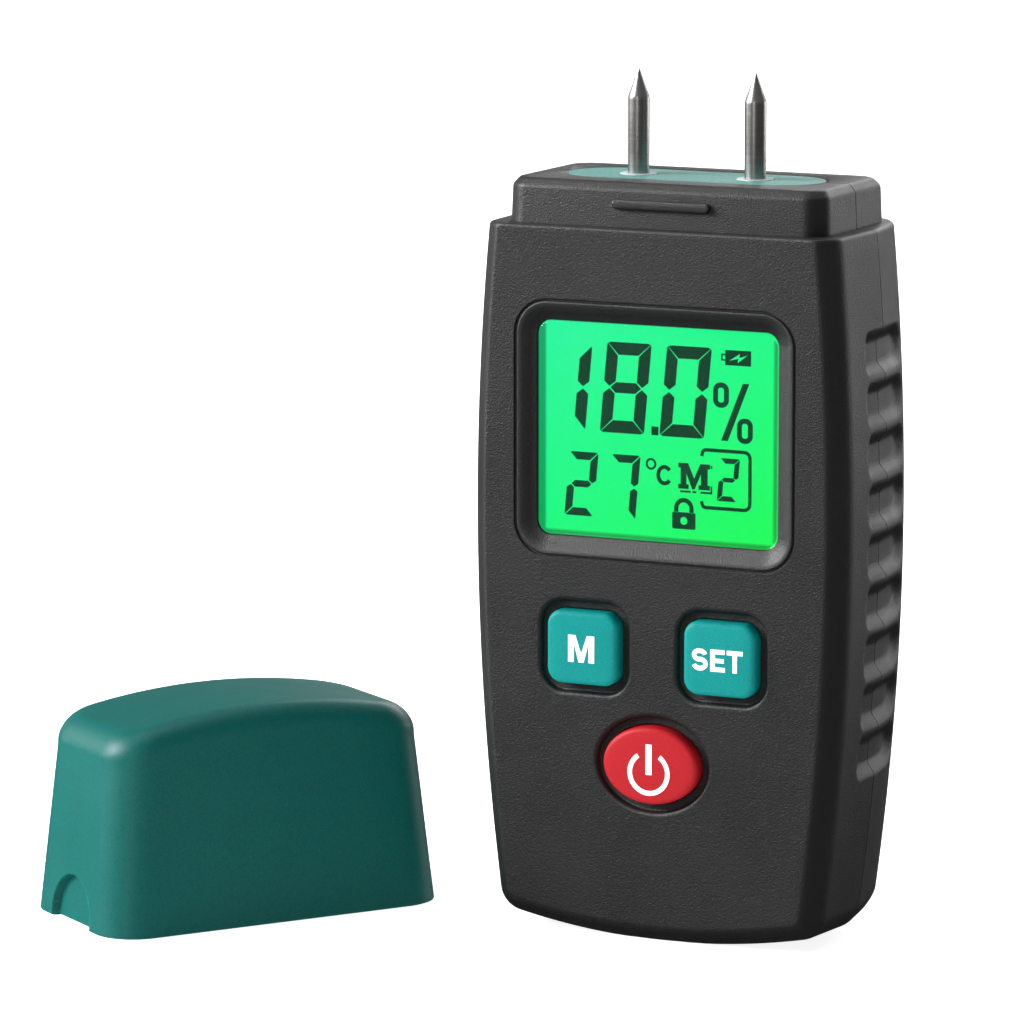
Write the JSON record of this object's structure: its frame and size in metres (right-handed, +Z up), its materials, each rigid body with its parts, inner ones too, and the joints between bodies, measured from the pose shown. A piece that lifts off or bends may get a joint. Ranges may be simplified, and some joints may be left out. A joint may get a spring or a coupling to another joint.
{
  "type": "moisture meter",
  "caption": "Hand-held pin-type moisture meter: black tapered case with green display, three keys and ribbed sides, two steel pins on its head, and a teal cap beside it",
  "frame": {"origin": "centre of the flat that the meter stands on, midway between its sides and on the parting plane of its two shells", "axes": "+Z up along the meter towards its pins, the front with display and keys faces -Y, +X to the right seen from the front"},
  "size_m": [0.1178, 0.0593, 0.1209],
  "materials": {
    "black_case": "fine spark texture, low sheen",
    "teal_plate": "satin",
    "white_nylon": "satin",
    "steel_pin": "fine turned",
    "brass_socket": "turned",
    "yellow_sleeve": "insulation sleeve",
    "green_window": "clear, lit from behind",
    "lcd_glass": "green lit display",
    "guide_acrylic": "polished acrylic",
    "led_green": "moulded lens",
    "frame_white": "moulded",
    "zebra_rubber": "striped",
    "green_board": "solder mask",
    "chip_black": "moulded epoxy",
    "board_part_mix": "ceramic and plastic",
    "bead_amber": "glass bead",
    "switch_metal": "pressed cover",
    "teal_key": "soft satin",
    "red_key": "soft satin",
    "battery_skin": "printed steel jacket",
    "snap_black": "soft vinyl",
    "red_wire": "vinyl insulation",
    "black_wire": "vinyl insulation",
    "screw_steel": "zinc plated",
    "teal_cap": "fine texture, satin"
  },
  "bodies": {
    "housing": {"front_shell": "black_case", "rear_shell": "black_case", "electrode_plate": "teal_plate", "left_collar": "white_nylon", "right_collar": "white_nylon", "left_pin": "steel_pin", "right_pin": "steel_pin", "left_socket": "brass_socket", "right_socket": "brass_socket", "left_probe_wire": "yellow_sleeve", "right_probe_wire": "yellow_sleeve", "display_lens": "green_window", "lcd_panel": "lcd_glass", "light_guide": "guide_acrylic", "backlight_leds": "led_green", "display_frame": "frame_white", "contact_strip": "zebra_rubber", "main_board": "green_board", "controller_chip": "chip_black", "board_parts": "board_part_mix", "temperature_sensor": "bead_amber", "mode_switch": "switch_metal", "set_switch": "switch_metal", "power_switch": "switch_metal", "battery": "battery_skin", "battery_snap": "snap_black", "red_lead": "red_wire", "black_lead": "black_wire", "case_screws": "screw_steel", "board_screws": "screw_steel"},
    "mode_key": {"mode_button": "teal_key"},
    "set_key": {"set_button": "teal_key"},
    "power_key": {"power_button": "red_key"},
    "door": {"battery_door": "black_case"},
    "cap": {"cap": "teal_cap"}
  },
  "joints": [
    {"name": "mode_press", "type": "slide", "parent": "housing", "child": "mode_key", "axis": [0, 1, 0], "range_m": [0, 0.0006], "stiffness_N_per_m": 350},
    {"name": "set_press", "type": "slide", "parent": "housing", "child": "set_key", "axis": [0, 1, 0], "range_m": [0, 0.0006], "stiffness_N_per_m": 350},
    {"name": "power_press", "type": "slide", "parent": "housing", "child": "power_key", "axis": [0, 1, 0], "range_m": [0, 0.0006], "stiffness_N_per_m": 350},
    {"name": "door_hinge", "type": "hinge", "parent": "housing", "child": "door", "pos_m": [0, 0.0135, 0.00835], "axis": [-1, 0, 0], "range_deg": [0, 90]},
    {"name": "cap_lift", "type": "slide", "parent": "housing", "child": "cap", "axis": [0, 0, 1], "range_m": [0, 0.03]}
  ]
}
